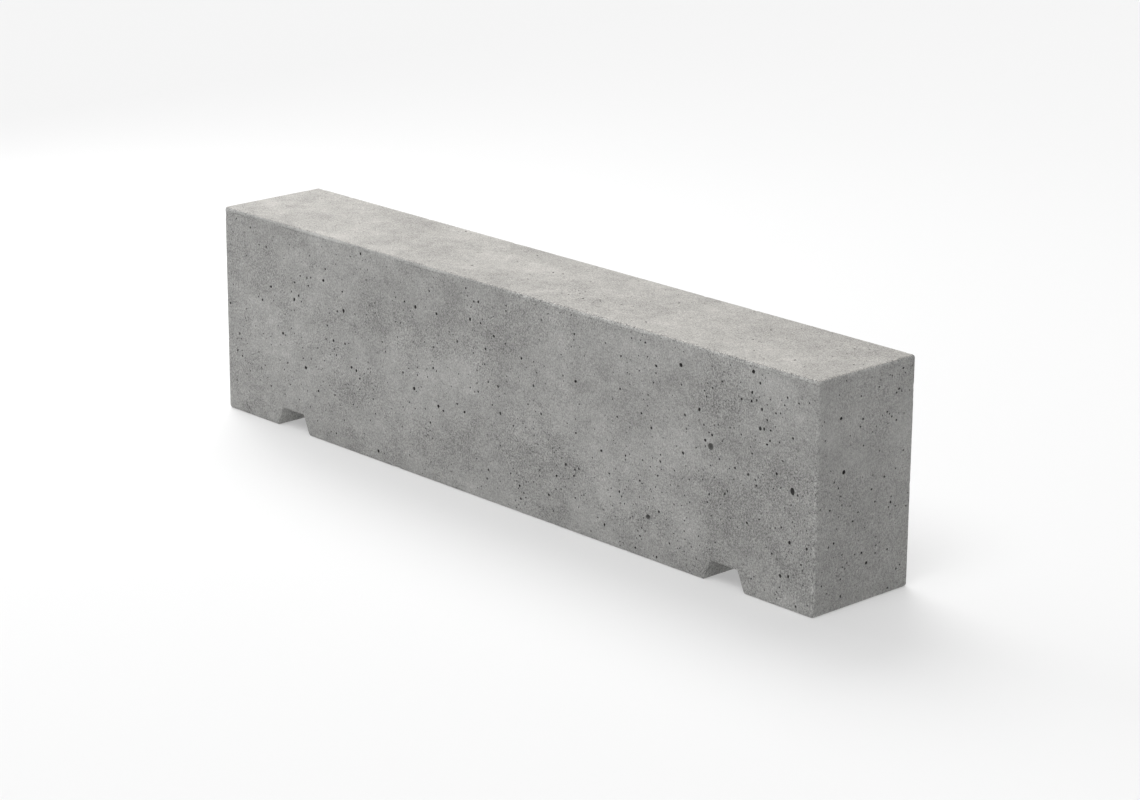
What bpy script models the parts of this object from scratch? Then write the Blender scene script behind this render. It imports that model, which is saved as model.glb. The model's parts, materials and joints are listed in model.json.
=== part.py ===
"""A precast concrete barrier: a long upright block with two sling and fork slots across its base,
cast round a cage of steel bars. The cage stands on mortar cover blocks and is held off the sides
of the mould by clip-on wheel spacers. +X runs along the barrier, +Y towards its back and +Z up.
The origin is at the centre of the base. Units are metres."""

import math

import bmesh
import bpy

# The block
LENGTH = 3.000
WIDTH = 0.450
HEIGHT = 0.780
ARRIS_RADIUS = 0.012
ARRIS_SEGMENTS = 4

# The two slots across the base, wider at the bottom than at the top
SLOT_HEIGHT = 0.075
SLOT_TOP_WIDTH = 0.120
SLOT_BASE_WIDTH = 0.185
SLOT_FROM_END = 0.391  # middle of a slot to the nearer end of the block
SLOT_ARC_STEPS = 4

# The cage
COVER = 0.040  # concrete between the steel and any face
MAIN_BAR_RADIUS = 0.006
LINK_RADIUS = 0.004
TOUCH_GAP = 0.0003  # left between two pieces that touch
CAST_GAP = 0.0008  # left between the concrete and what is cast into it
MAIN_BAR_LEVELS = 4
U_BAR_LEVELS = 3
U_BAR_LEG = 0.350
U_BAR_BEND_RADIUS = 0.020
HOOK_LENGTH = 0.070
MAIN_BAR_SIDES = 8
SMOOTH_ANGLE = math.radians(50)
LINK_BEVEL_RESOLUTION = 1  # gives a six-sided bar
BEND_POINTS = 3
HOOK_POINTS = 4

# Stations along the right half. The left half mirrors them.
LINKS_BETWEEN_SLOTS = (0.15, 0.45, 0.75, 0.95)
LINKS_IN_FOOT = (1.26, 1.445)
SPACER_STATIONS = (0.45, 1.26)

# Spacers
COVER_BLOCK_BASE = 0.044
COVER_BLOCK_TOP = 0.032
WHEEL_THICKNESS = 0.010
WHEEL_SKIN = 0.003  # mortar over the rim, so that no plastic shows on the face
WHEEL_SLIT = 0.0070
WHEEL_HEIGHT = 0.430
WHEEL_ARC_STEPS = 18

CUT_MARGIN = 0.010  # how far a cutter runs past a face

# Worked out from the above
SLOT_CENTRE = LENGTH / 2 - SLOT_FROM_END
WRAP_RADIUS = MAIN_BAR_RADIUS + LINK_RADIUS + TOUCH_GAP  # a link's centre line round a bar
BAR_INSET = COVER + LINK_RADIUS + WRAP_RADIUS  # face to the centre of a corner bar
BAR_Y = WIDTH / 2 - BAR_INSET
BASE_BAR_Z = BAR_INSET
TOP_BAR_Z = HEIGHT - BAR_INSET
LOW_MAIN_BAR_Z = SLOT_HEIGHT + BAR_INSET
LINK_LEG_Y = BAR_Y + WRAP_RADIUS
LINK_PITCH = 2 * LINK_RADIUS + TOUCH_GAP  # the two hooks of a link lie side by side
BAR_END = LENGTH / 2 - COVER
SLOT_INNER_EDGE = SLOT_CENTRE - SLOT_BASE_WIDTH / 2
SLOT_OUTER_EDGE = SLOT_CENTRE + SLOT_BASE_WIDTH / 2


def clear_scene():
    for obj in list(bpy.data.objects):
        bpy.data.objects.remove(obj, do_unlink=True)


def new_collection(name):
    collection = bpy.data.collections.new(name)
    bpy.context.scene.collection.children.link(collection)
    return collection


def new_material(name, colour, roughness, metallic=0.0):
    material = bpy.data.materials.new(name)
    material.use_nodes = True
    shader = material.node_tree.nodes["Principled BSDF"]
    shader.inputs["Base Color"].default_value = (*colour, 1.0)
    shader.inputs["Roughness"].default_value = roughness
    shader.inputs["Metallic"].default_value = metallic
    return material


def place(obj, collection, material=None):
    """Moves an object into one collection and gives it its material."""
    for holder in list(obj.users_collection):
        holder.objects.unlink(obj)
    collection.objects.link(obj)
    if material is not None:
        obj.data.materials.append(material)
    return obj


def as_cutter(obj, cutters):
    """Makes an object a hidden mesh in the cutters' collection. A curve is turned into a welded mesh."""
    if obj.type == "CURVE":
        bpy.context.view_layer.update()
        graph = bpy.context.evaluated_depsgraph_get()
        mesh = bpy.data.meshes.new_from_object(obj.evaluated_get(graph))
        welded = bmesh.new()
        welded.from_mesh(mesh)
        bmesh.ops.remove_doubles(welded, verts=welded.verts, dist=1e-6)
        bmesh.ops.recalc_face_normals(welded, faces=welded.faces)
        welded.to_mesh(mesh)
        welded.free()
        cutter = bpy.data.objects.new(obj.name + "_mesh", mesh)
        cutter.matrix_world = obj.matrix_world
        bpy.data.objects.remove(obj, do_unlink=True)
        obj = cutter
    place(obj, cutters)
    obj.hide_render = True
    obj.display_type = "WIRE"
    return obj


def round_bend(centre, radius, start, end, steps):
    """Corners of the polygon drawn round an arc, so that its sides touch the arc from outside."""
    step = (end - start) / steps
    reach = radius / math.cos(step / 2)
    corners = []
    for i in range(steps):
        angle = start + (i + 0.5) * step
        corners.append((centre[0] + reach * math.cos(angle), centre[1] + reach * math.sin(angle)))
    return corners


def arc(centre, radius, start, end, steps):
    """Points on an arc, both of its ends included."""
    points = []
    for i in range(steps + 1):
        angle = start + (end - start) * i / steps
        points.append((centre[0] + radius * math.cos(angle), centre[1] + radius * math.sin(angle)))
    return points


# Shapes that are made twice: once as the piece, and once a little larger as the room left for it


def straight_bar(name, start_x, end_x, y, z, grow=0.0):
    bpy.ops.mesh.primitive_cylinder_add(
        vertices=MAIN_BAR_SIDES,
        radius=MAIN_BAR_RADIUS + grow,
        depth=abs(end_x - start_x) + 2 * grow,
        location=((start_x + end_x) / 2, y, z),
        rotation=(0, math.pi / 2, 0),
    )
    bar = bpy.context.object
    bar.name = name
    bar.data.shade_smooth()
    bar.data.set_sharp_from_angle(angle=SMOOTH_ANGLE)
    return bar


def bent_bar(name, points, grow=0.0):
    curve = bpy.data.curves.new(name, "CURVE")
    curve.dimensions = "3D"
    curve.bevel_depth = LINK_RADIUS + grow
    curve.bevel_resolution = LINK_BEVEL_RESOLUTION
    curve.use_fill_caps = True
    spline = curve.splines.new("POLY")
    spline.points.add(len(points) - 1)
    for point, place_at in zip(spline.points, points):
        point.co = (*place_at, 1.0)
    bar = bpy.data.objects.new(name, curve)
    bpy.context.scene.collection.objects.link(bar)
    return bar


def flat_shape(name, outline, half_thickness):
    """A closed outline in its own XY plane, filled and given thickness both ways along Z."""
    curve = bpy.data.curves.new(name, "CURVE")
    curve.dimensions = "2D"
    curve.fill_mode = "BOTH"
    curve.extrude = half_thickness
    spline = curve.splines.new("POLY")
    spline.points.add(len(outline) - 1)
    for point, place_at in zip(spline.points, outline):
        point.co = (*place_at, 0.0, 1.0)
    spline.use_cyclic_u = True
    shape = bpy.data.objects.new(name, curve)
    bpy.context.scene.collection.objects.link(shape)
    return shape


def link_path(x, low_z, hook_side):
    """Centre line of a link: a hook round the top corner bar, once round the cage, and a second hook
    beside the first. It steps along X on its two upright legs only."""
    top, low = (BAR_Y, TOP_BAR_Z), (BAR_Y, low_z)
    far_top, far_low = (-BAR_Y, TOP_BAR_Z), (-BAR_Y, low_z)
    quarter = math.pi / 2
    first_x, last_x = x - LINK_PITCH / 2, x + LINK_PITCH / 2
    bends = (
        (first_x, top, -quarter / 2, quarter, HOOK_POINTS),
        (first_x, far_top, quarter, 2 * quarter, BEND_POINTS),
        (x, far_low, 2 * quarter, 3 * quarter, BEND_POINTS),
        (x, low, 3 * quarter, 4 * quarter, BEND_POINTS),
        (last_x, top, 0.0, 1.5 * quarter, HOOK_POINTS),
    )
    path = []
    for bend_x, centre, start, end, steps in bends:
        for y, z in round_bend(centre, WRAP_RADIUS, start, end, steps):
            path.append((bend_x, y, z))
    # Each hook ends in a straight leg that runs down into the core at 45 degrees.
    slope = math.sqrt(0.5)
    for index, angle, hook_x in ((0, -quarter / 2, first_x), (len(path) + 1, 1.5 * quarter, last_x)):
        tip_y = BAR_Y + WRAP_RADIUS * math.cos(angle) - HOOK_LENGTH * slope
        tip_z = TOP_BAR_Z + WRAP_RADIUS * math.sin(angle) - HOOK_LENGTH * slope
        path.insert(index, (hook_x, tip_y, tip_z))
    return [(px, py * hook_side, pz) for px, py, pz in path]


def leg_x(x, z, low_z, leg_is_hooked):
    """Where an upright leg of a link is along X at height z."""
    share = (z - low_z) / (TOP_BAR_Z - low_z)
    return x + (1 if leg_is_hooked else -1) * share * LINK_PITCH / 2


def u_bar_path(end, z):
    """Centre line of a U-bar that lies on two main bars and closes one end of the cage."""
    cross_x = BAR_END - LINK_RADIUS
    centre_x = cross_x - U_BAR_BEND_RADIUS
    centre_y = BAR_Y - U_BAR_BEND_RADIUS
    quarter = math.pi / 2
    path = [(BAR_END - U_BAR_LEG, -BAR_Y)]
    path += round_bend((centre_x, -centre_y), U_BAR_BEND_RADIUS, -quarter, 0.0, BEND_POINTS)
    path += round_bend((centre_x, centre_y), U_BAR_BEND_RADIUS, 0.0, quarter, BEND_POINTS)
    path.append((BAR_END - U_BAR_LEG, BAR_Y))
    return [(end * x, y, z) for x, y in path]


def cover_block_width(z):
    """Width of a cover block at height z. It tapers from the base up to the link leg that it carries."""
    share = z / (BASE_BAR_Z - WRAP_RADIUS)
    return COVER_BLOCK_BASE + share * (COVER_BLOCK_TOP - COVER_BLOCK_BASE)


def cover_block(name, x, y, grow=0.0, low_z=TOUCH_GAP):
    """A tapered mortar block, as high as the middle of the link leg that it carries."""
    high_z = BASE_BAR_Z - WRAP_RADIUS + grow
    half_diagonal = math.sqrt(0.5)
    bpy.ops.mesh.primitive_cone_add(
        vertices=4,
        radius1=(cover_block_width(low_z) + 2 * grow) * half_diagonal,
        radius2=(cover_block_width(high_z) + 2 * grow) * half_diagonal,
        depth=high_z - low_z,
        location=(x, y, (low_z + high_z) / 2),
        rotation=(0, 0, math.pi / 4),
    )
    block = bpy.context.object
    block.name = name
    return block


def wheel_outline(rim_radius, bore_radius, slit):
    """A disc with a bore and with a slit that lets it clip onto a link leg. The slit faces +Y."""
    rim_half = math.asin(slit / 2 / rim_radius)
    bore_half = math.asin(slit / 2 / bore_radius)
    quarter = math.pi / 2
    outside = arc((0, 0), rim_radius, quarter + rim_half, quarter + 2 * math.pi - rim_half, WHEEL_ARC_STEPS)
    inside = arc((0, 0), bore_radius, quarter + 2 * math.pi - bore_half, quarter + bore_half, MAIN_BAR_SIDES)
    return outside + inside


def wheel_spacer(name, x, side, grow=0.0):
    rim_radius = WIDTH / 2 - LINK_LEG_Y - WHEEL_SKIN
    bore_radius = (LINK_RADIUS + TOUCH_GAP) / math.cos(math.pi / MAIN_BAR_SIDES)
    outline = wheel_outline(rim_radius + grow, bore_radius - grow, WHEEL_SLIT - 2 * grow)
    wheel = flat_shape(name, outline, WHEEL_THICKNESS / 2 + grow)
    wheel.location = (x, side * LINK_LEG_Y, WHEEL_HEIGHT)
    wheel.rotation_euler = (0, 0, math.pi if side > 0 else 0)
    return wheel


# The concrete


def slot_outline():
    """Half of the slot's section in XZ, mirrored. The arc rounds the edge between slot and base."""
    half_top, half_base = SLOT_TOP_WIDTH / 2, SLOT_BASE_WIDTH / 2
    wall_angle = math.atan2(SLOT_HEIGHT, half_top - half_base)  # the wall's slope, seen from the base
    tangent = ARRIS_RADIUS / math.tan(wall_angle / 2)
    centre = (half_base + tangent, ARRIS_RADIUS)
    quarter = math.pi / 2
    right = [(half_base + tangent, -CUT_MARGIN)]
    right += arc(centre, ARRIS_RADIUS, -quarter, wall_angle - 3 * quarter, SLOT_ARC_STEPS)
    right.append((half_top, SLOT_HEIGHT))
    return right + [(-x, z) for x, z in reversed(right)]


def slot_cutter(side, cutters):
    cutter = flat_shape("slot_cutter", slot_outline(), WIDTH / 2 + CUT_MARGIN)
    cutter.location = (side * SLOT_CENTRE, 0, 0)
    cutter.rotation_euler = (math.pi / 2, 0, 0)
    return as_cutter(cutter, cutters)


def concrete_body(barrier, cutters, concrete):
    bpy.ops.mesh.primitive_cube_add(size=1, location=(0, 0, HEIGHT / 2), scale=(LENGTH, WIDTH, HEIGHT))
    body = bpy.context.object
    body.name = "concrete_body"
    bpy.ops.object.transform_apply(location=False, rotation=False, scale=True)
    place(body, barrier, concrete)
    bevel = body.modifiers.new("rounded_arrises", "BEVEL")
    bevel.width = ARRIS_RADIUS
    bevel.segments = ARRIS_SEGMENTS
    cut = body.modifiers.new("slots_and_room_for_the_cage", "BOOLEAN")
    cut.operation = "DIFFERENCE"
    cut.operand_type = "COLLECTION"
    cut.collection = cutters
    cut.solver = "EXACT"
    cut.use_self = True
    return body


# The cage


def main_bar_runs():
    """Name, ends along X, Y and Z of every straight bar."""
    runs = []
    spacing = (TOP_BAR_Z - LOW_MAIN_BAR_Z) / (MAIN_BAR_LEVELS - 1)
    for side_name, side in (("front", -1), ("back", 1)):
        y = side * BAR_Y
        for level in range(MAIN_BAR_LEVELS):
            z = LOW_MAIN_BAR_Z + level * spacing
            runs.append((f"main_bar_{side_name}_{level + 1}", -BAR_END, BAR_END, y, z))
        base_end = SLOT_INNER_EDGE - COVER
        runs.append((f"base_bar_{side_name}", -base_end, base_end, y, BASE_BAR_Z))
        for end_name, end in (("left", -1), ("right", 1)):
            inner, outer = sorted((end * (SLOT_OUTER_EDGE + COVER), end * BAR_END))
            runs.append((f"foot_bar_{end_name}_{side_name}", inner, outer, y, BASE_BAR_Z))
    return runs


def link_stations():
    """X and lowest bar level of every link, from left to right. The links over the slots are shorter."""
    right = [(x, BASE_BAR_Z) for x in LINKS_BETWEEN_SLOTS]
    right.append((SLOT_CENTRE, LOW_MAIN_BAR_Z))
    right += [(x, BASE_BAR_Z) for x in LINKS_IN_FOOT]
    return [(-x, z) for x, z in reversed(right)] + right


def build_cage(barrier, cutters, steel):
    for run in main_bar_runs():
        place(straight_bar(*run), barrier, steel)
        as_cutter(straight_bar(run[0] + "_room", *run[1:], grow=CAST_GAP), cutters)

    for index, (x, low_z) in enumerate(link_stations()):
        name = f"link_{index + 1:02d}"
        path = link_path(x, low_z, hook_side(index))
        place(bent_bar(name, path), barrier, steel)
        as_cutter(bent_bar(name + "_room", path, CAST_GAP), cutters)

    spacing = (TOP_BAR_Z - LOW_MAIN_BAR_Z) / (MAIN_BAR_LEVELS - 1)
    for end_name, end in (("left", -1), ("right", 1)):
        for level in range(U_BAR_LEVELS):
            name = f"u_bar_{end_name}_{level + 1}"
            path = u_bar_path(end, LOW_MAIN_BAR_Z + level * spacing + WRAP_RADIUS)
            place(bent_bar(name, path), barrier, steel)
            as_cutter(bent_bar(name + "_room", path, CAST_GAP), cutters)


def hook_side(index):
    """The hooks change sides from one link to the next."""
    return 1 if index % 2 else -1


def build_spacers(barrier, cutters, saddles, mortar, plastic):
    count = 0
    for index, (x, low_z) in enumerate(link_stations()):
        if min(abs(abs(x) - station) for station in SPACER_STATIONS) > CUT_MARGIN:
            continue
        for side in (-1, 1):
            count += 1
            block_y = side * BAR_Y * 2 / 3
            block = cover_block(f"cover_block_{count:02d}", x, block_y)
            place(block, barrier, mortar)
            saddle = block.modifiers.new("saddle", "BOOLEAN")
            saddle.operation = "DIFFERENCE"
            saddle.solver = "EXACT"
            saddle.object = saddle_cutter(x, block_y, saddles)
            as_cutter(cover_block(f"cover_block_{count:02d}_room", x, block_y, CAST_GAP, -CUT_MARGIN), cutters)

            wheel_x = leg_x(x, WHEEL_HEIGHT, low_z, side == hook_side(index))
            wheel_name = f"wheel_spacer_{count:02d}"
            place(wheel_spacer(wheel_name, wheel_x, side), barrier, plastic)
            as_cutter(wheel_spacer(wheel_name + "_room", wheel_x, side, CAST_GAP), cutters)


def saddle_cutter(x, y, saddles):
    """The groove in a cover block for the link leg, which runs along Y."""
    bpy.ops.mesh.primitive_cylinder_add(
        vertices=MAIN_BAR_SIDES,
        radius=(LINK_RADIUS + TOUCH_GAP) / math.cos(math.pi / MAIN_BAR_SIDES),
        depth=COVER_BLOCK_BASE,
        location=(x, y, BASE_BAR_Z - WRAP_RADIUS),
        rotation=(math.pi / 2, 0, 0),
    )
    cutter = bpy.context.object
    cutter.name = "saddle_cutter"
    return as_cutter(cutter, saddles)


def main():
    clear_scene()
    barrier = new_collection("concrete_barrier")
    cutters = new_collection("cutters")
    saddles = new_collection("saddle_cutters")
    concrete = new_material("concrete", (0.36, 0.355, 0.34), 0.9)
    steel = new_material("reinforcing_steel", (0.20, 0.12, 0.08), 0.75, 0.6)
    mortar = new_material("mortar", (0.45, 0.44, 0.41), 0.9)
    plastic = new_material("spacer_plastic", (0.10, 0.10, 0.11), 0.5)
    build_cage(barrier, cutters, steel)
    build_spacers(barrier, cutters, saddles, mortar, plastic)
    for side in (-1, 1):
        slot_cutter(side, cutters)
    concrete_body(barrier, cutters, concrete)


main()
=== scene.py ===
"""Looks for a precast concrete barrier. The block's CAD solid is replaced by a finer mesh with worn
arrises and air holes, and the cage inside keeps its CAD solids with better materials. Three far lights,
a softbox, a soft sky and a white floor light it. Units are metres. +X runs along the block, and -Y is
its front."""

import itertools
import json
import math
import random

import bmesh
import bpy
import numpy as np
from mathutils import Matrix, Vector, noise


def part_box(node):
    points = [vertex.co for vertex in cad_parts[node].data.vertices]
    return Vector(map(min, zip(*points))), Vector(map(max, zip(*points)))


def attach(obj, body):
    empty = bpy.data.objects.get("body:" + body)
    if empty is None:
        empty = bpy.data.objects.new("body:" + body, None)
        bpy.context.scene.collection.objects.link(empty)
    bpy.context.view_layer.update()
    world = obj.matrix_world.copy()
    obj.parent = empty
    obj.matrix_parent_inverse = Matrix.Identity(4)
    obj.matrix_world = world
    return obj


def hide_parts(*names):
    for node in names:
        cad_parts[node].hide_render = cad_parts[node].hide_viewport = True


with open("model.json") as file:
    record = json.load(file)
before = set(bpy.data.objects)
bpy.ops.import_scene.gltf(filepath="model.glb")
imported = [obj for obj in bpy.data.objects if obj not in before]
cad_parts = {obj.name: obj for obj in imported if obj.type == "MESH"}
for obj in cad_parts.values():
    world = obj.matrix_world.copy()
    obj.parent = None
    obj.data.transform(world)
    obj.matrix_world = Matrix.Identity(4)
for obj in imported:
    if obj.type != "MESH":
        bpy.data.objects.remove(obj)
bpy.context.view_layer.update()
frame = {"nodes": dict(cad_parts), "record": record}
record = frame["record"]

# The block
LOW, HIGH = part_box("concrete_body")
ARRIS_RADIUS = 0.012
ARRIS_STEPS = 6
ROUND_PROFILE = 0.5  # a bevel with the section of a quarter circle
SLOT_TOP_WIDTH = 0.120
SLOT_BASE_WIDTH = 0.185
SLOT_ARC_STEPS = 6
MOUTH_BEVEL = 0.003
MOUTH_BEVEL_STEPS = 2
MOUTH_REACH = 0.016  # how far from a slot's mouth its edges are looked for
SHARP_EDGE = math.radians(60)  # an edge sharper than this is bevelled
CUT_OVERLAP = 0.01  # how far a cutter reaches beyond the block

# Its mesh
CELL = 0.060  # cells of the flat faces
WORN_BAND = 0.030  # how far from an arris the mesh is fine
FINE_STEP = 0.010
MOST_CUTS = 12  # of one edge
MOUTH_BAND = 0.02  # how far from a slot's mouth the mesh is fine
ARRIS_MARGIN = 0.006  # between the end of the rounding and the first slice
SLICE_TOLERANCE = 1e-5
SMOOTH_LIMIT = math.radians(38)

# Wear: how deep, how many cells of noise to a metre, how many octaves and which part of the noise
SWELL = (0.00035, 4, 2, 3.0)
ROUGHNESS = (0.0004, 45, 2, 11.0)
CHIPS = (0.006, 22, 3, 7.0)
CHIP_LIMIT = 0.42  # noise above this chips the arris
DEEPEST_CHIP = 0.004
WEAR_POWER = 1.5  # how quickly wear fades away from an arris
CROSSWISE_WEAR = 0.5  # of the arrises that run across the block, against the others

# Air holes. The largest ones, listed one by one: place along and up the face, diameter, height to width,
# depth to radius
FRONT_HOLES = (
    (1.04, 0.46, 0.026, 0.95, 0.17), (1.015, 0.475, 0.011, 1.0, 0.9), (1.045, 0.50, 0.010, 1.0, 1.0),
    (0.76, 0.15, 0.022, 0.8, 0.20), (1.40, 0.40, 0.018, 1.5, 0.7), (0.90, 0.70, 0.016, 0.9, 0.8),
    (1.22, 0.75, 0.015, 0.9, 0.8), (-0.42, 0.32, 0.014, 1.0, 1.0), (-1.03, 0.26, 0.014, 1.0, 1.0),
    (-0.29, 0.285, 0.013, 1.0, 1.0), (-0.41, 0.62, 0.013, 1.1, 1.0), (-0.62, 0.04, 0.013, 1.0, 1.0),
)
RIGHT_HOLES = ((0.02, 0.13, 0.012, 1.0, 1.0), (-0.10, 0.46, 0.015, 1.1, 0.9), (-0.12, 0.64, 0.012, 1.0, 1.0))
# The rest are scattered. Each face: its axis and side, number of holes, and the smallest, mean above it
# and largest diameter
SCATTERS = (
    (1, -1, 400, (0.0062, 0.0014, 0.014)),
    (1, -1, 400, (0.0045, 0.0012, 0.0065)),
    (1, -1, 700, (0.0026, 0.0012, 0.005)),
    (1, 1, 430, (0.0062, 0.0015, 0.014)),
    (1, 1, 400, (0.0042, 0.0012, 0.0065)),
    (1, 1, 350, (0.0026, 0.0012, 0.005)),
    (0, 1, 75, (0.0064, 0.0010, 0.009)),
    (0, 1, 55, (0.0030, 0.0012, 0.006)),
    (0, -1, 75, (0.0064, 0.0010, 0.009)),
    (0, -1, 55, (0.0030, 0.0012, 0.006)),
    (2, 1, 130, (0.0045, 0.0016, 0.009)),
    (2, -1, 150, (0.0040, 0.0018, 0.010)),
)
HOLES_SEED = 41
HOLE_STRETCHES = (0.75, 1.4)  # height to width
HOLE_DEPTHS = (0.6, 1.2)  # depth to radius
HOLE_MARGIN = 0.014  # no holes this near an arris
ROOF_MARGIN, SLOT_MARGIN = 0.012, 0.03  # nor this near a slot, above it and beside it
HOLE_GAP = 0.0012
HOLE_CELL = 0.030  # of the grid that finds the holes nearby
HOLE_SINK = 0.12  # how far a hole's middle lies below the face, against its size into the face
HOLE_TURN = 0.5  # radians either way
BALL_DETAILS = (1, 2)  # of the balls that cut small and large holes
FINE_HOLE = 0.0038  # a hole wider than this to each side of its middle is cut by the finer ball
LUMP_SIZE, LUMP_CELLS = 0.22, 1.4  # how high the lumps are and how many fit, in radii of the hole
LUMP_SHIFT = 50  # each hole takes its lumps from another part of the noise, this far off at most
LUMP_ROOM = 1.15  # for its lumps, a hole counts as this much wider
SATELLITE_SHARE = 0.15  # of the holes have small ones beside them
MOST_SATELLITES = 3
SATELLITE_SPREAD = 0.010
SATELLITE_SIZES = (0.0018, 0.0008, 0.004)
CROWD_AT_LEFT, CROWD_PER_METRE = 0.40, 0.21
CROWD_MEAN, CROWD_SWING = 0.60, 0.40
CROWD_PATCHES = (3.0, 2, 31.0)  # cells to a metre, octaves and part of the noise

# Layout of the colour maps' UVs
MAP_SIDE = 3.05  # metres across the square
MAP_GAP = 0.022
SURFACE_TOLERANCE = 0.001

# Concrete's colours
SIDE_DARK, SIDE_LIGHT = (0.357, 0.355, 0.344), (0.377, 0.375, 0.365)
TOP_DARK, TOP_LIGHT = (0.360, 0.348, 0.327), (0.380, 0.368, 0.347)
# Its layers of noise: how many cells to a metre, along each axis
CLOUD_CELLS, DRIFT_CELLS, SANDY_CELLS = (2.0, 2.0, 2.6), (0.8, 0.8, 1.1), (3.2, 3.2, 4.4)
GRAVEL_CELLS, SAND_CELLS = (85.0, 85.0, 66.0), (165.0, 165.0, 125.0)
DUST_CELLS, PIT_CELLS = (330.0, 330.0, 250.0), (150.0, 150.0, 118.0)
# How strongly each layer shows in its tone
CLOUD_TONE, DRIFT_TONE, SANDY_TONE = 1.75, 0.20, -0.04
WORN_TONE, LACE_TONE, END_TONE = 0.05, 0.10, 0.045
# Painted shade on the top-facing part of an arris's rounding and painted light on its side-facing part
ROUNDING_SHADE_TOP, ROUNDING_LIGHT_SIDE = -0.05, 0.20
GRAVEL_TONE, SAND_TONE, DUST_TONE = 0.33, 0.30, 0.36
# A painted shade line on the side and a painted highlight line on the top, along the arrises' rounding
SHADE_LINE_TONE, HIGHLIGHT_LINE_TONE = -0.12, 0.06
PIT_SHADE, POCK_SHADE = 0.78, 0.70  # painted shade in a small pit and in a pock: how much of the tone is left there
CONCRETE_BUMP, CONCRETE_BUMP_STRENGTH = 0.0012, 0.7
# Where a layer starts and where it is full, in metres
TOP_FADE, CROWN_FADE = (0.0045, 0.0015), (0.05, 0.03)  # below the top
END_FADE = 0.010  # from an end
# from an arris, with how far the border wanders
WORN_FADE, WORN_RAGGED = (0.014, 0.004), 0.016
RIM_FADE, RIM_RAGGED = (0.018, 0.009), 0.036
LINE_PLACES = (0.0115, 0.0165)
ROUNDING_PAINT_FADE = (0.0125, 0.0110)
LINE_FADE_SIDE, LINE_FADE_TOP = (0.003, 0.001), (0.010, 0.004)  # from a line's middle
HOLE_SHADE_FADE = (0.0002, 0.0032)  # below a face, for the painted shade that darkens an air hole deep in
# Along the block: wear grows from its least to full over a stretch, and so does the extra sand, low down
WEAR_STRETCH, WEAR_AT_LEFT = (-0.5, 0.9), 0.3
SANDY_STRETCH, SANDY_HEIGHTS, SANDY_EXTRA = (0.9, 1.45), (0.55, 0.25), 0.12

# The other materials. The walls of the air holes have painted shade: darker than the concrete, and darker
# still deep in
SHALLOW_SHADE_DARK, SHALLOW_SHADE_LIGHT = (0.12, 0.119, 0.115), (0.24, 0.238, 0.23)
DEEP_SHADE_DARK, DEEP_SHADE_LIGHT = (0.028, 0.028, 0.027), (0.080, 0.079, 0.076)
MILL_SCALE, RUST_DARK, RUST_LIGHT = (0.055, 0.045, 0.040), (0.16, 0.060, 0.022), (0.30, 0.125, 0.045)
RUSTY_METALLIC = 0.35
RIB_SPACING = 0.008
MORTAR_DARK, MORTAR_LIGHT = (0.40, 0.39, 0.36), (0.50, 0.49, 0.455)
PLASTIC_DARK, PLASTIC_LIGHT = (0.055, 0.057, 0.062), (0.105, 0.108, 0.114)

# Studio. Far lights: azimuth from +X towards +Y and height, both in degrees, and strength
SUNS = ((150, 45, 1.74), (120, 60, 0.55), (285, 60, 1.42))
SUN_SPREAD = math.radians(34)
# The near light, off the left end, from which the top pales towards that end
SOFTBOX_PLACE = Vector((-4.5, 0.0, 3.1))
SOFTBOX_SIZE, SOFTBOX_POWER = 3.0, 98.0
SKY_STRENGTH = 0.20
FLOOR_SHADE, FLOOR_GLOW = 0.50, 0.35
FLOOR_HALF_SIDE = 60

# The camera
CAMERA_PLACE = (7.9581, -7.3225, 3.6821)
CAMERA_YAW, CAMERA_PITCH, CAMERA_ROLL = (math.radians(a) for a in (46.8679, 17.2265, 0.3939))
CAMERA_LENS = 103.01
CAMERA_REACH = 200
SENSOR_WIDTH = 36.0


# Mesh of the block


def mesh_object(name, bm):
    mesh = bpy.data.meshes.new(name)
    bm.to_mesh(mesh)
    bm.free()
    obj = bpy.data.objects.new(name, mesh)
    bpy.context.scene.collection.objects.link(obj)
    return obj


def bake_modifiers(obj):
    """Replaces an object's mesh by what its modifiers make of it."""
    graph = bpy.context.evaluated_depsgraph_get()
    graph.update()
    mesh = bpy.data.meshes.new_from_object(obj.evaluated_get(graph))
    obj.modifiers.clear()
    old = obj.data
    obj.data = mesh
    bpy.data.meshes.remove(old)


def cut_away(obj, cutter, solver):
    cut = obj.modifiers.new("cut", "BOOLEAN")
    cut.operation = "DIFFERENCE"
    cut.solver = solver
    cut.object = cutter
    bake_modifiers(obj)
    bpy.data.objects.remove(cutter, do_unlink=True)


def slot_mounts():
    return [m for m in record["mounts"] if m["name"].endswith("slot_roof")]


def slot_section():
    """Right half of the slot's outline in XZ, from below the base up to the roof."""
    half_top, half_base = SLOT_TOP_WIDTH / 2, SLOT_BASE_WIDTH / 2
    height = slot_mounts()[0]["pos_m"][2]
    wall = math.atan2(height, half_top - half_base)
    reach = ARRIS_RADIUS / math.tan(wall / 2)
    points = [(half_base + reach, -CUT_OVERLAP)]
    for i in range(SLOT_ARC_STEPS + 1):
        angle = -math.pi / 2 + (wall - math.pi) * i / SLOT_ARC_STEPS
        points.append((half_base + reach + ARRIS_RADIUS * math.cos(angle),
                       ARRIS_RADIUS + ARRIS_RADIUS * math.sin(angle)))
    points.append((half_top, height))
    return points


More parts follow.
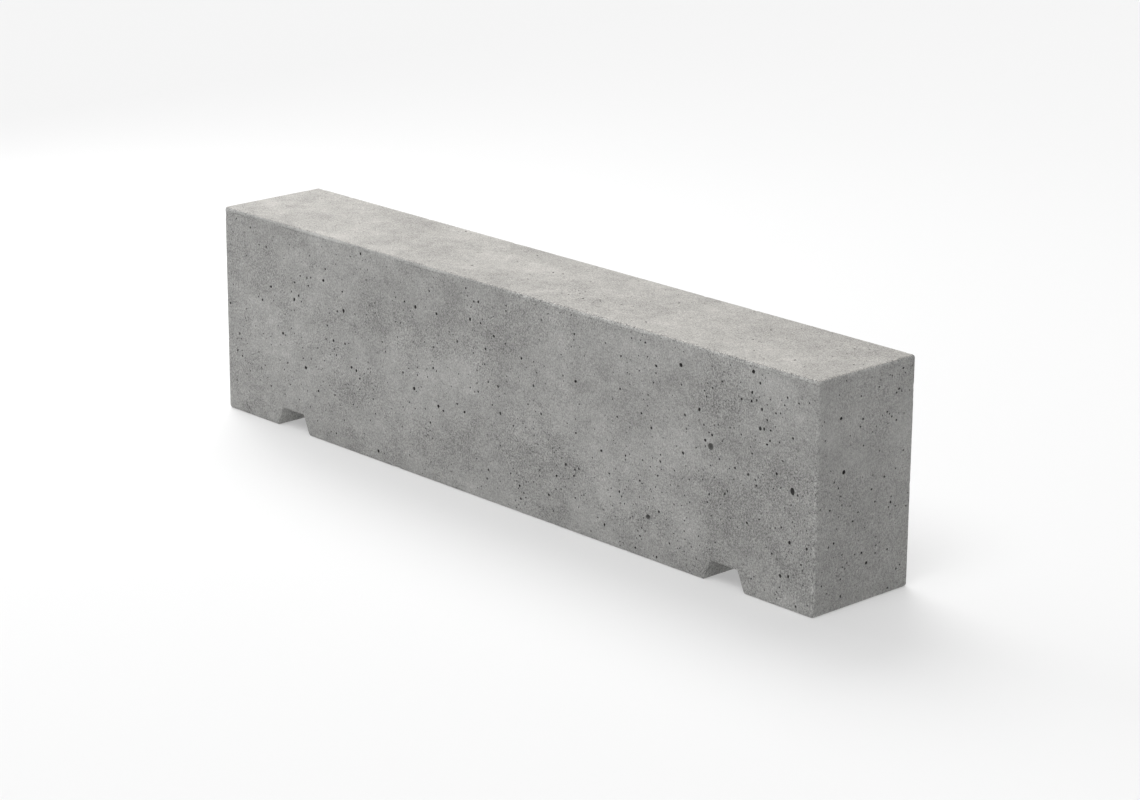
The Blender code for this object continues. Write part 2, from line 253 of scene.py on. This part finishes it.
def slot_cutters():
    """One object with a prism for each slot."""
    half = slot_section()
    outline = half + [(-x, z) for x, z in reversed(half)]
    bm = bmesh.new()
    for mount in slot_mounts():
        centre = mount["pos_m"][0]
        near = [bm.verts.new((centre + x, LOW.y - CUT_OVERLAP, z)) for x, z in outline]
        face = bm.faces.new(near)
        grown = bmesh.ops.extrude_face_region(bm, geom=[face])["geom"]
        moved = [g for g in grown if isinstance(g, bmesh.types.BMVert)]
        bmesh.ops.translate(bm, verts=moved, vec=(0, HIGH.y - LOW.y + 2 * CUT_OVERLAP, 0))
    bmesh.ops.recalc_face_normals(bm, faces=bm.faces)
    return mesh_object("slot_cutters", bm)


def plain_block():
    bm = bmesh.new()
    size = HIGH - LOW
    place = Matrix.Translation((LOW + HIGH) / 2) @ Matrix.Diagonal((*size, 1))
    bmesh.ops.create_cube(bm, size=1, matrix=place)
    bmesh.ops.bevel(bm, geom=bm.edges[:], offset=ARRIS_RADIUS, segments=ARRIS_STEPS,
                    profile=ROUND_PROFILE, affect="EDGES")
    block = mesh_object("concrete_block", bm)
    cut_away(block, slot_cutters(), "EXACT")
    return block


def near_slot_mouth(point, reach):
    height = slot_mounts()[0]["pos_m"][2]
    if min(point.y - LOW.y, HIGH.y - point.y) > reach or point.z > height + reach:
        return False
    return any(abs(point.x - m["pos_m"][0]) < SLOT_BASE_WIDTH / 2 + reach for m in slot_mounts())


def bevel_mouths(bm):
    """Takes the sharpness off the slots' edges in the front and back faces."""
    edges = []
    for edge in bm.edges:
        middle = (edge.verts[0].co + edge.verts[1].co) / 2
        if len(edge.link_faces) == 2 and edge.calc_face_angle() > SHARP_EDGE:
            if near_slot_mouth(middle, MOUTH_REACH):
                edges.append(edge)
    bmesh.ops.bevel(bm, geom=edges, offset=MOUTH_BEVEL, segments=MOUTH_BEVEL_STEPS,
                    profile=ROUND_PROFILE, affect="EDGES")


def slice_along(bm, axis, places):
    normal = Vector((0, 0, 0))
    normal[axis] = 1
    for place in places:
        point = normal * place
        everything = bm.verts[:] + bm.edges[:] + bm.faces[:]
        bmesh.ops.bisect_plane(bm, geom=everything, plane_co=point, plane_no=normal, dist=SLICE_TOLERANCE)


def slices(low, high):
    """Places to slice from low to high: close together at both ends and CELL apart between."""
    ends = (ARRIS_RADIUS + ARRIS_MARGIN, WORN_BAND)
    inner_low, inner_high = low + WORN_BAND, high - WORN_BAND
    count = round((inner_high - inner_low) / CELL)
    places = [low + e for e in ends] + [high - e for e in ends]
    places += [inner_low + (inner_high - inner_low) * i / count for i in range(1, count)]
    return sorted(places)


def arris_weight(point):
    """0 on the flat faces, rising to 1 at the arrises of the block."""
    gaps = [min(point[a] - LOW[a], HIGH[a] - point[a]) for a in range(3)]
    return sorted(max(0.0, 1 - gap / WORN_BAND) for gap in gaps)[1]


def refine_arrises(bm):
    """Cuts the long edges near the arrises and the slot mouths into short ones."""
    by_cuts = {}
    for edge in bm.edges:
        middle = (edge.verts[0].co + edge.verts[1].co) / 2
        if arris_weight(middle) > 0 or near_slot_mouth(middle, MOUTH_BAND):
            cuts = round(edge.calc_length() / FINE_STEP) - 1
            if cuts > 0:
                by_cuts.setdefault(min(cuts, MOST_CUTS), []).append(edge)
    for cuts, edges in by_cuts.items():
        edges = [e for e in edges if e.is_valid]
        bmesh.ops.subdivide_edges(bm, edges=edges, cuts=cuts, use_grid_fill=True)


def fractal(point, per_metre, octaves, seed):
    """Fractal noise between about -1 and 1. seed picks the part of the noise."""
    place = Vector(point) * per_metre + Vector((seed, seed * 1.7, -seed))
    return noise.fractal(place, 1.0, 2.0, octaves)


def clamped(value):
    return max(-1, min(1, value))


def wear(bm):
    """Moves the surface inwards: a little everywhere, and more and unevenly at the arrises."""
    bm.normal_update()
    moves = []
    for vert in bm.verts:
        point = vert.co
        weight = arris_weight(point)
        if min(point.y - LOW.y, HIGH.y - point.y) > WORN_BAND:
            weight *= CROSSWISE_WEAR
        swell = SWELL[0] * (0.5 + 0.5 * clamped(fractal(point, *SWELL[1:])))
        rough = ROUGHNESS[0] * (0.5 + 0.5 * clamped(fractal(point, *ROUGHNESS[1:])))
        chip = CHIPS[0] * max(0.0, fractal(point, *CHIPS[1:]) - CHIP_LIMIT)
        worn = weight ** WEAR_POWER * (rough + min(chip, DEEPEST_CHIP))
        moves.append(vert.normal * (swell + worn))
    for vert, move in zip(bm.verts, moves):
        vert.co -= move
        for a in range(3):
            vert.co[a] = min(max(vert.co[a], LOW[a]), HIGH[a])


# Air holes


def unit_ball(detail):
    """Corners and faces of a ball of radius 1."""
    bm = bmesh.new()
    bmesh.ops.create_icosphere(bm, subdivisions=detail, radius=1.0)
    ball = [v.co.copy() for v in bm.verts], [[v.index for v in f.verts] for f in bm.faces]
    bm.free()
    return ball


class AirHoles:
    """Scatters air holes over the faces of the block and gathers the shapes that cut them."""

    def __init__(self):
        self.generator = random.Random(HOLES_SEED)
        self.balls = [unit_ball(detail) for detail in BALL_DETAILS]
        self.points, self.faces = [], []
        self.placed = {}

    def cell_of(self, point):
        return tuple(math.floor(c / HOLE_CELL) for c in point)

    def near(self, point):
        """Middles and radii of the holes in the grid's cells around a point."""
        cell = self.cell_of(point)
        for step in itertools.product((-1, 0, 1), repeat=3):
            yield from self.placed.get(tuple(c + d for c, d in zip(cell, step)), ())

    def add(self, point, normal, diameter, stretch=1.0, depth=1.0):
        """Cuts one hole, unless it would run into another. stretch is height to width."""
        radius = diameter * max(stretch, 1) / 2 * LUMP_ROOM
        for other, other_radius in self.near(point):
            if (point - other).length < radius + other_radius + HOLE_GAP:
                return
        self.placed.setdefault(self.cell_of(point), []).append((point, radius))
        centre = point - normal * diameter * depth * HOLE_SINK
        self.shape(centre, normal, diameter / 2, diameter / 2 * stretch, diameter / 2 * depth)

    def shape(self, centre, normal, width, height, depth):
        """A lumpy ball with the given half sizes across, up and into the face."""
        spin = Matrix.Rotation(self.generator.uniform(-HOLE_TURN, HOLE_TURN), 4, "Z")
        turn = normal.to_track_quat("Z", "Y").to_matrix().to_4x4()
        place = Matrix.Translation(centre) @ turn @ spin @ Matrix.Diagonal((width, height, depth, 1))
        shift = Vector([self.generator.uniform(-LUMP_SHIFT, LUMP_SHIFT) for _ in range(3)])
        corners, faces = self.balls[width > FINE_HOLE]
        first = len(self.points)
        for corner in corners:
            lump = 1 + LUMP_SIZE * noise.noise(corner * LUMP_CELLS + shift)
            self.points.append(place @ (corner * lump))
        self.faces += [[first + i for i in face] for face in faces]

    def diameter(self, smallest, mean_extra, largest):
        return min(smallest + self.generator.expovariate(1 / mean_extra), largest)

    def scatter(self, axis, side, count, sizes):
        """Scatters holes over one face. sizes holds the smallest, the mean above it and the largest."""
        normal = Vector((0, 0, 0))
        normal[axis] = side
        across = [a for a in range(3) if a != axis]
        made = 0
        while made < count:
            point = Vector((0, 0, 0))
            point[axis] = HIGH[axis] if side > 0 else LOW[axis]
            for a in across:
                point[a] = self.generator.uniform(LOW[a] + HOLE_MARGIN, HIGH[a] - HOLE_MARGIN)
            if self.generator.random() > crowding(point) or over_slot(point):
                continue
            diameter = self.diameter(*sizes)
            stretch = self.generator.uniform(*HOLE_STRETCHES)
            depth = self.generator.uniform(*HOLE_DEPTHS)
            self.add(point, normal, diameter, stretch, depth)
            made += 1
            if self.generator.random() < SATELLITE_SHARE:
                self.satellites(point, normal, across)

    def satellites(self, point, normal, across):
        """A few small holes beside a hole."""
        for _ in range(self.generator.randint(1, MOST_SATELLITES)):
            beside = point.copy()
            for a in across:
                beside[a] += self.generator.gauss(0, SATELLITE_SPREAD)
            inside = all(LOW[a] + HOLE_MARGIN < beside[a] < HIGH[a] - HOLE_MARGIN for a in across)
            if inside and not over_slot(beside):
                self.add(beside, normal, self.diameter(*SATELLITE_SIZES))


def over_slot(point):
    """Whether a slot lies at this place, or near it."""
    height = slot_mounts()[0]["pos_m"][2]
    if point.z > height + ROOF_MARGIN:
        return False
    return any(abs(point.x - m["pos_m"][0]) < SLOT_BASE_WIDTH / 2 + SLOT_MARGIN for m in slot_mounts())


def crowding(point):
    """How likely a hole is here: patchy, and more of them towards +X."""
    patch = clamped(2 * fractal(point, *CROWD_PATCHES))
    return (CROWD_AT_LEFT + CROWD_PER_METRE * (point.x - LOW.x)) * (CROWD_MEAN + CROWD_SWING * patch)


def hole_cutter():
    """One object with the shapes of all the holes."""
    holes = AirHoles()
    front, right = Vector((0, -1, 0)), Vector((1, 0, 0))
    for x, z, diameter, stretch, depth in FRONT_HOLES:
        holes.add(Vector((x, LOW.y, z)), front, diameter, stretch, depth)
    for y, z, diameter, stretch, depth in RIGHT_HOLES:
        holes.add(Vector((HIGH.x, y, z)), right, diameter, stretch, depth)
    for axis, side, count, sizes in SCATTERS:
        holes.scatter(axis, side, count, sizes)
    mesh = bpy.data.meshes.new("hole_cutter")
    mesh.from_pydata(holes.points, [], holes.faces)
    cutter = bpy.data.objects.new("hole_cutter", mesh)
    bpy.context.scene.collection.objects.link(cutter)
    return cutter


def numbers(items, name, shape, kind=float):
    """One property of a mesh's items, as an array."""
    values = np.empty(shape, kind)
    items.foreach_get(name, values.ravel())
    return values


def polygon_faces(mesh):
    """The axis and side of the face of the block that each polygon belongs to: by the polygon's slope,
    or in a hole by its place. A slot's surfaces go with the base, where the slot cuts it."""
    count = len(mesh.polygons)
    centres = numbers(mesh.polygons, "center", (count, 3))
    normals = numbers(mesh.polygons, "normal", (count, 3))
    in_hole = numbers(mesh.polygons, "material_index", count, int) > 0
    middle, half = np.array((LOW + HIGH) / 2), np.array((HIGH - LOW) / 2)
    sloping = np.abs(normals).argmax(axis=1)
    slope = np.sign(np.take_along_axis(normals, sloping[:, None], 1)[:, 0])
    nearest = (half - np.abs(centres - middle)).argmin(axis=1)
    outward = np.sign(np.take_along_axis(centres - middle, nearest[:, None], 1)[:, 0])
    axis = np.where(in_hole, nearest, sloping)
    side = np.where(in_hole, outward, slope)
    for mount in slot_mounts():
        x, z = mount["pos_m"][0], mount["pos_m"][2]
        beside = np.abs(centres[:, 0] - x) < SLOT_BASE_WIDTH / 2 + 2 * ARRIS_RADIUS
        in_slot = beside & (centres[:, 2] < z + SURFACE_TOLERANCE) & (axis != 1)
        axis[in_slot], side[in_slot] = 2, -1
    return axis, side


def lay_out_maps(mesh):
    """A flat UV layout for colour maps: the front, the back, the top and the base in rows, then
    both ends on their sides."""
    corners = len(mesh.loops)
    vertex = numbers(mesh.loops, "vertex_index", corners, int)
    points = numbers(mesh.vertices, "co", (len(mesh.vertices), 3))[vertex] - np.array(LOW)
    sizes = numbers(mesh.polygons, "loop_total", len(mesh.polygons), int)
    axis, side = (np.repeat(values, sizes) for values in polygon_faces(mesh))

    width, height = HIGH.y - LOW.y, HIGH.z - LOW.z
    steps = {(1, -1): height, (1, 1): height, (2, 1): width, (2, -1): width, (0, 1): width}
    rows = {}
    level = MAP_GAP
    for face, step in steps.items():
        rows[face] = (level, MAP_GAP)
        level += step + MAP_GAP
    rows[(0, -1)] = (rows[(0, 1)][0], height + 3 * MAP_GAP)
    places = np.zeros((corners, 2))
    for (face_axis, face_side), (up, along) in rows.items():
        chosen = (axis == face_axis) & (side == face_side)
        across, upward = {0: (2, 1), 1: (0, 2), 2: (0, 1)}[face_axis]
        places[chosen, 0] = points[chosen, across] + along
        places[chosen, 1] = points[chosen, upward] + up
    layer = mesh.uv_layers.new(name="OFBake")
    layer.data.foreach_set("uv", (places / MAP_SIDE).ravel())


def build_block(concrete, hole_wall_painted_shade):
    block = plain_block()
    bm = bmesh.new()
    bm.from_mesh(block.data)
    bevel_mouths(bm)
    for axis in range(3):
        slice_along(bm, axis, slices(LOW[axis], HIGH[axis]))
    refine_arrises(bm)
    wear(bm)
    bmesh.ops.triangulate(bm, faces=[f for f in bm.faces if len(f.verts) > 4])
    bm.to_mesh(block.data)
    bm.free()
    block.data.materials.clear()
    block.data.materials.append(concrete)
    block.data.materials.append(hole_wall_painted_shade)
    cutter = hole_cutter()
    cutter.data.materials.append(concrete)
    cutter.data.materials.append(hole_wall_painted_shade)
    # The holes' walls take the material with painted shade
    cutter.data.polygons.foreach_set("material_index", [1] * len(cutter.data.polygons))
    cut_away(block, cutter, "MANIFOLD")
    lay_out_maps(block.data)
    block.data.shade_smooth()
    block.data.set_sharp_from_angle(angle=SMOOTH_LIMIT)
    return block


# Materials


class Shader:
    """A material with short names for the nodes that the looks need."""

    # Sockets of a colour Mix node, which go by number because its names repeat
    MIX_A, MIX_B, MIX_RESULT = 6, 7, 2

    def __init__(self, name):
        self.material = bpy.data.materials.new(name)
        self.material.use_nodes = True
        self.nodes = self.material.node_tree.nodes
        self.links = self.material.node_tree.links
        self.surface = self.nodes["Principled BSDF"]
        self.place = self.nodes.new("ShaderNodeTexCoord").outputs["Object"]

    def feed(self, socket, value):
        if isinstance(value, bpy.types.NodeSocket):
            self.links.new(value, socket)
        else:
            socket.default_value = value

    def stretched(self, scale, offset):
        node = self.nodes.new("ShaderNodeMapping")
        self.links.new(self.place, node.inputs["Vector"])
        node.inputs["Scale"].default_value = scale
        node.inputs["Location"].default_value = offset
        return node.outputs["Vector"]

    def axes(self):
        split = self.nodes.new("ShaderNodeSeparateXYZ")
        self.links.new(self.place, split.inputs["Vector"])
        return split.outputs["X"], split.outputs["Y"], split.outputs["Z"]

    def face_gaps(self, x, y, z):
        """How far a point lies from the nearer end, side and flat of the block."""
        return (self.math("SUBTRACT", (HIGH.x - LOW.x) / 2, self.math("ABSOLUTE", x)),
                self.math("SUBTRACT", (HIGH.y - LOW.y) / 2, self.math("ABSOLUTE", y)),
                self.math("MINIMUM", self.math("SUBTRACT", z, LOW.z), self.math("SUBTRACT", HIGH.z, z)))

    def noise(self, cells, detail=3, roughness=0.5, offset=(0, 0, 0), distortion=0.0):
        """Noise with this many cells to a metre, or with its own number of them along each axis."""
        node = self.nodes.new("ShaderNodeTexNoise")
        scale = cells if isinstance(cells, tuple) else (cells, cells, cells)
        self.links.new(self.stretched(scale, offset), node.inputs["Vector"])
        node.inputs["Scale"].default_value = 1.0
        node.inputs["Detail"].default_value = detail
        node.inputs["Roughness"].default_value = roughness
        node.inputs["Distortion"].default_value = distortion
        return node.outputs["Fac"]

    def math(self, operation, *values):
        node = self.nodes.new("ShaderNodeMath")
        node.operation = operation
        for socket, value in zip(node.inputs, values):
            self.feed(socket, value)
        return node.outputs["Value"]

    def chain(self, operation, terms):
        result = terms[0]
        for term in terms[1:]:
            result = self.math(operation, result, term)
        return result

    def sum(self, *terms):
        return self.chain("ADD", terms)

    def product(self, *terms):
        return self.chain("MULTIPLY", terms)

    def smallest(self, *terms):
        return self.chain("MINIMUM", terms)

    def largest(self, *terms):
        return self.chain("MAXIMUM", terms)

    def ramp(self, value, low, high, to_low=0.0, to_high=1.0):
        """A smooth step from to_low, where value is low, to to_high, where it is high."""
        node = self.nodes.new("ShaderNodeMapRange")
        node.interpolation_type = "SMOOTHSTEP"
        for name, number in (("Value", value), ("From Min", low), ("From Max", high), ("To Min", to_low),
                             ("To Max", to_high)):
            self.feed(node.inputs[name], number)
        return node.outputs["Result"]

    def between(self, mask, at_0, at_1):
        """A number that goes from one value to another as a mask goes from 0 to 1."""
        return self.ramp(mask, 0.0, 1.0, at_0, at_1)

    def centred(self, value, amount):
        """Noise made to swing about 0 by the given amount."""
        return self.product(self.math("SUBTRACT", value, 0.5), amount)

    def mix(self, share, a, b):
        node = self.nodes.new("ShaderNodeMix")
        node.data_type = "RGBA"
        self.feed(node.inputs["Factor"], share)
        for number, colour in ((self.MIX_A, a), (self.MIX_B, b)):
            self.feed(node.inputs[number], (*colour, 1) if isinstance(colour, tuple) else colour)
        return node.outputs[self.MIX_RESULT]

    def scaled(self, colour, factor):
        node = self.nodes.new("ShaderNodeVectorMath")
        node.operation = "SCALE"
        self.feed(node.inputs["Vector"], colour)
        self.feed(node.inputs["Scale"], factor)
        return node.outputs["Vector"]

    def finish(self, colour, roughness, height, distance, strength):
        """Joins the looks to the surface, with a bump of the given distance and strength."""
        self.feed(self.surface.inputs["Base Color"], colour)
        self.feed(self.surface.inputs["Roughness"], roughness)
        bump = self.nodes.new("ShaderNodeBump")
        bump.inputs["Strength"].default_value = strength
        bump.inputs["Distance"].default_value = distance
        self.links.new(height, bump.inputs["Height"])
        self.links.new(bump.outputs["Normal"], self.surface.inputs["Normal"])
        return self.material


class ArrisMasks:
    """Where the concrete's arrises are worn, pitted and lined with painted highlight and shade, from 0 to 1,
    and the tone of the painted light and shade on their rounding.
    """

    def __init__(self, s, x, y, z, up):
        gaps = s.face_gaps(x, y, z)
        across, upright = gaps[1:]
        long_inset = s.largest(across, upright)
        rightward = s.ramp(x, *WEAR_STRETCH, WEAR_AT_LEFT, 1.0)
        crown = s.ramp(z, HIGH.z - CROWN_FADE[0], HIGH.z - CROWN_FADE[1])

        # The distance to the nearest arris: on a face its own gap is about 0, so what is left of the
        # three gaps without the largest
        inset = s.math("SUBTRACT", s.sum(*gaps), s.largest(*gaps))
        ragged = s.centred(s.noise(60.0, detail=2, roughness=0.6, offset=(7, 1, 3)), WORN_RAGGED)
        self.worn = s.product(s.ramp(s.sum(inset, ragged), *WORN_FADE), rightward)

        # The long arrises of the top are pitted
        ragged = s.centred(s.noise(14.0, detail=3, roughness=0.7, offset=(2, 8, 5)), RIM_RAGGED)
        self.rim = s.product(s.ramp(s.sum(long_inset, ragged), *RIM_FADE), crown, rightward)

        # Thin painted lines, here and there, where their rounding meets the faces: painted shade on the side
        # and a painted highlight on the top
        patches = s.product(crown, s.ramp(s.noise(2.6, roughness=0.6, offset=(8, 1, 4)), 0.40, 0.54))
        wander = s.noise(9.0, detail=2, roughness=0.6, offset=(5, 5, 1))
        beside = s.math("ABSOLUTE", s.math("SUBTRACT", long_inset, s.ramp(wander, 0.3, 0.7, *LINE_PLACES)))
        fade = [s.between(up, side, top) for side, top in zip(LINE_FADE_SIDE, LINE_FADE_TOP)]
        self.line = s.product(s.ramp(beside, *fade), patches)

        # Between the lines the rounding gets painted light towards the side and painted shade towards the
        # top, which evens out its shading
        turn = s.math("DIVIDE", upright, s.sum(across, upright))
        painted_tone_by_turn = s.ramp(turn, 0.15, 0.90, ROUNDING_SHADE_TOP, ROUNDING_LIGHT_SIDE)
        self.rounding_light_and_shade = s.product(s.ramp(long_inset, *ROUNDING_PAINT_FADE), patches, painted_tone_by_turn)


def top_crust(s, up):
    """Where the trowelled top has a pale crust, in lacy patches."""
    folds = s.noise(15.0, detail=4, roughness=0.65, offset=(6.2, 3.3, 0.0), distortion=1.4)
    lace = s.ramp(s.math("ABSOLUTE", s.math("SUBTRACT", folds, 0.5)), 0.045, 0.0)
    patches = s.ramp(s.noise(3.4, detail=2, offset=(0.4, 8.8, 0.0)), 0.48, 0.62)
    return s.product(lace, patches, up)


def sandy_areas(s, x, z, up):
    """Where the mould left the face sandy, most of all low at the right end."""
    leaked = s.product(s.ramp(x, *SANDY_STRETCH, 0.0, SANDY_EXTRA), s.ramp(z, *SANDY_HEIGHTS))
    sandy = s.noise(SANDY_CELLS, detail=4, roughness=0.6, offset=(1.3, 2.2, 9.1))
    return s.product(s.ramp(s.sum(sandy, leaked), 0.42, 0.60), s.between(up, 1.0, 0.35))


def concrete_material():
    s = Shader("concrete")
    x, y, z = s.axes()
    up = s.ramp(z, HIGH.z - TOP_FADE[0], HIGH.z - TOP_FADE[1])
    end = s.ramp(s.math("ABSOLUTE", x), HIGH.x - END_FADE, HIGH.x)
    arris = ArrisMasks(s, x, y, z, up)
    sandy = sandy_areas(s, x, z, up)
    rough_areas = s.largest(sandy, arris.worn)

    cloud = s.noise(CLOUD_CELLS, detail=7, roughness=0.93, offset=(3.1, 0.3, 1.7))
    drift = s.noise(DRIFT_CELLS, detail=1, offset=(5.3, 1.1, 4.2))
    gravel = s.noise(GRAVEL_CELLS, detail=1, offset=(2.4, 6.1, 0.7))
    sand = s.ramp(s.noise(SAND_CELLS, detail=1, roughness=0.6, offset=(4.3, 4.1, 4.7)), 0.36, 0.64)
    dust = s.ramp(s.noise(DUST_CELLS, detail=1, roughness=0.6), 0.36, 0.64)
    pit = s.ramp(s.noise(PIT_CELLS, detail=1, offset=(9.1, 2.7, 6.6)), 0.40, 0.27)

    # The grain: finer on the top, and stronger where the face is sandy or worn
    fine = s.sum(s.centred(sand, SAND_TONE), s.centred(dust, DUST_TONE))
    fine = s.product(fine, s.between(up, 1.0, 1.42))
    coarse = s.product(s.centred(gravel, GRAVEL_TONE), s.between(up, 1.0, 0.48))
    grain = s.product(s.sum(fine, coarse), s.between(sandy, 0.85, 1.2), s.between(arris.worn, 1.0, 1.5),
                      s.between(arris.rim, 1.0, 1.25), s.between(end, 1.06, 0.84))

    # The tone: about 1, times the colour. It holds painted light and shade at the arrises: the lines and the
    # rounding's tone
    cloudy = s.product(s.centred(cloud, CLOUD_TONE), s.between(end, 1.0, 0.70))
    tone = s.sum(1.0, cloudy, s.centred(drift, DRIFT_TONE), grain, s.product(sandy, SANDY_TONE),
                 s.product(arris.worn, WORN_TONE), s.product(top_crust(s, up), LACE_TONE),
                 s.product(arris.line, s.between(up, SHADE_LINE_TONE, HIGHLIGHT_LINE_TONE)), arris.rounding_light_and_shade,
                 s.product(end, END_TONE))
    # Small pits, and pocks along the top's arrises, are darkened with painted shade
    pitted = s.product(pit, s.between(rough_areas, 0.45, 1.0))
    pock_shade = s.product(s.ramp(s.noise(130.0, detail=1, offset=(3.4, 5.2, 8.8)), 0.44, 0.34), arris.rim)
    tone = s.product(tone, s.between(pitted, 1.0, PIT_SHADE), s.between(pock_shade, 1.0, POCK_SHADE))
    colour = s.mix(up, s.mix(cloud, SIDE_DARK, SIDE_LIGHT), s.mix(cloud, TOP_DARK, TOP_LIGHT))

    roughness = s.sum(0.82, s.centred(cloud, 0.25), s.centred(sand, 0.25))
    height = s.sum(s.product(dust, 0.3), s.product(sand, 0.8), s.product(gravel, 0.8),
                   s.product(pitted, -0.8))
    height = s.product(height, s.between(rough_areas, 0.6, 1.4))
    return s.finish(s.scaled(colour, tone), roughness, height, CONCRETE_BUMP, CONCRETE_BUMP_STRENGTH)


def hole_shade_material():
    """The wall of an air hole, with painted shade: dark, and darker the deeper it is."""
    s = Shader("hole_wall_painted_shade")
    hole_shade_depth = s.ramp(s.smallest(*s.face_gaps(*s.axes())), *HOLE_SHADE_FADE)
    grit = s.noise(420.0, roughness=0.6)
    colour = s.mix(hole_shade_depth, s.mix(grit, SHALLOW_SHADE_DARK, SHALLOW_SHADE_LIGHT), s.mix(grit, DEEP_SHADE_DARK, DEEP_SHADE_LIGHT))
    return s.finish(colour, s.between(grit, 0.85, 1.0), grit, distance=0.0006, strength=0.6)


def steel_material():
    """Rusty ribbed bar. The ribs are slanting waves, so they cross a bar whichever way it runs."""
    s = Shader("rusted_steel")
    rust = s.ramp(s.noise(38.0, detail=5, roughness=0.6), 0.35, 0.65)
    grit = s.noise(900.0, roughness=0.6)
    along = s.product(s.sum(*s.axes()), 2 * math.pi / RIB_SPACING)
    ribs = s.ramp(s.math("SINE", along), 0.2, 0.7)
    colour = s.mix(rust, MILL_SCALE, s.mix(grit, RUST_DARK, RUST_LIGHT))
    s.surface.inputs["Metallic"].default_value = RUSTY_METALLIC
    height = s.sum(ribs, s.product(grit, 0.3))
    return s.finish(colour, s.between(rust, 0.5, 0.9), height, distance=0.0008, strength=0.8)


def mortar_material():
    s = Shader("mortar")
    patch = s.noise(60.0, detail=4, roughness=0.6)
    grit = s.noise(700.0, roughness=0.6)
    colour = s.scaled(s.mix(patch, MORTAR_DARK, MORTAR_LIGHT), s.ramp(grit, 0.3, 0.7, 0.88, 1.1))
    return s.finish(colour, s.between(patch, 0.8, 0.95), grit, distance=0.0004, strength=0.6)


def plastic_material():
    s = Shader("spacer_plastic")
    haze = s.noise(45.0)
    grain = s.noise(1200.0, detail=2)
    colour = s.mix(haze, PLASTIC_DARK, PLASTIC_LIGHT)
    return s.finish(colour, s.between(haze, 0.38, 0.6), grain, distance=0.0001, strength=0.3)


def paint_cage():
    """Gives the CAD pieces inside the block their materials."""
    looks = {"reinforcing_steel": steel_material(), "mortar": mortar_material(),
             "spacer_plastic": plastic_material()}
    for part in record["subparts"]:
        if part["material_slot"] in looks:
            node = frame["nodes"][part["node"]]
            for slot in node.material_slots:
                slot.material = looks[part["material_slot"]]


# Studio


def build_floor():
    bm = bmesh.new()
    bmesh.ops.create_grid(bm, x_segments=1, y_segments=1, size=FLOOR_HALF_SIDE)
    floor = mesh_object("floor", bm)
    floor.location.z = LOW.z
    paper = bpy.data.materials.new("floor")
    paper.use_nodes = True
    surface = paper.node_tree.nodes["Principled BSDF"]
    surface.inputs["Base Color"].default_value = (FLOOR_SHADE, FLOOR_SHADE, FLOOR_SHADE, 1)
    surface.inputs["Emission Color"].default_value = (1, 1, 1, 1)
    surface.inputs["Emission Strength"].default_value = FLOOR_GLOW
    surface.inputs["Roughness"].default_value = 1.0
    surface.inputs["Specular IOR Level"].default_value = 0.0
    floor.data.materials.append(paper)


def build_lights():
    world = bpy.data.worlds.new("studio")
    bpy.context.scene.world = world
    world.use_nodes = True
    sky = world.node_tree.nodes["Background"]
    sky.inputs["Color"].default_value = (1, 1, 1, 1)
    sky.inputs["Strength"].default_value = SKY_STRENGTH
    for number, (azimuth, height, energy) in enumerate(SUNS):
        sun = bpy.data.lights.new(f"far_light_{number}", "SUN")
        sun.energy = energy
        sun.angle = SUN_SPREAD
        azimuth, height = math.radians(azimuth), math.radians(height)
        level = math.cos(height)
        place_lamp(sun, Vector((math.cos(azimuth) * level, math.sin(azimuth) * level, math.sin(height))))
    softbox = bpy.data.lights.new("softbox", "AREA")
    softbox.shape = "DISK"
    softbox.size = SOFTBOX_SIZE
    softbox.energy = SOFTBOX_POWER
    lamp = place_lamp(softbox, SOFTBOX_PLACE - (LOW + HIGH) / 2)
    lamp.location = SOFTBOX_PLACE
    lamp.visible_camera = False


def place_lamp(light, towards):
    """An object for the light, turned so that it shines from the given direction."""
    lamp = bpy.data.objects.new(light.name, light)
    lamp.rotation_euler = towards.to_track_quat("Z", "Y").to_euler()
    bpy.context.scene.collection.objects.link(lamp)
    return lamp


def build_camera():
    data = bpy.data.cameras.new("camera")
    data.lens = CAMERA_LENS
    data.sensor_width = SENSOR_WIDTH
    data.sensor_fit = "HORIZONTAL"
    data.clip_end = CAMERA_REACH
    camera = bpy.data.objects.new("camera", data)
    turn = (Matrix.Rotation(CAMERA_YAW, 4, "Z") @ Matrix.Rotation(math.pi / 2 - CAMERA_PITCH, 4, "X")
            @ Matrix.Rotation(CAMERA_ROLL, 4, "Z"))
    camera.matrix_world = Matrix.Translation(CAMERA_PLACE) @ turn
    bpy.context.scene.collection.objects.link(camera)
    bpy.context.scene.camera = camera
    bpy.context.scene.view_settings.view_transform = "Standard"


build_camera()
build_floor()
build_lights()
block = build_block(concrete_material(), hole_shade_material())
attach(block, "root")
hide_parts("concrete_body")
paint_cage()
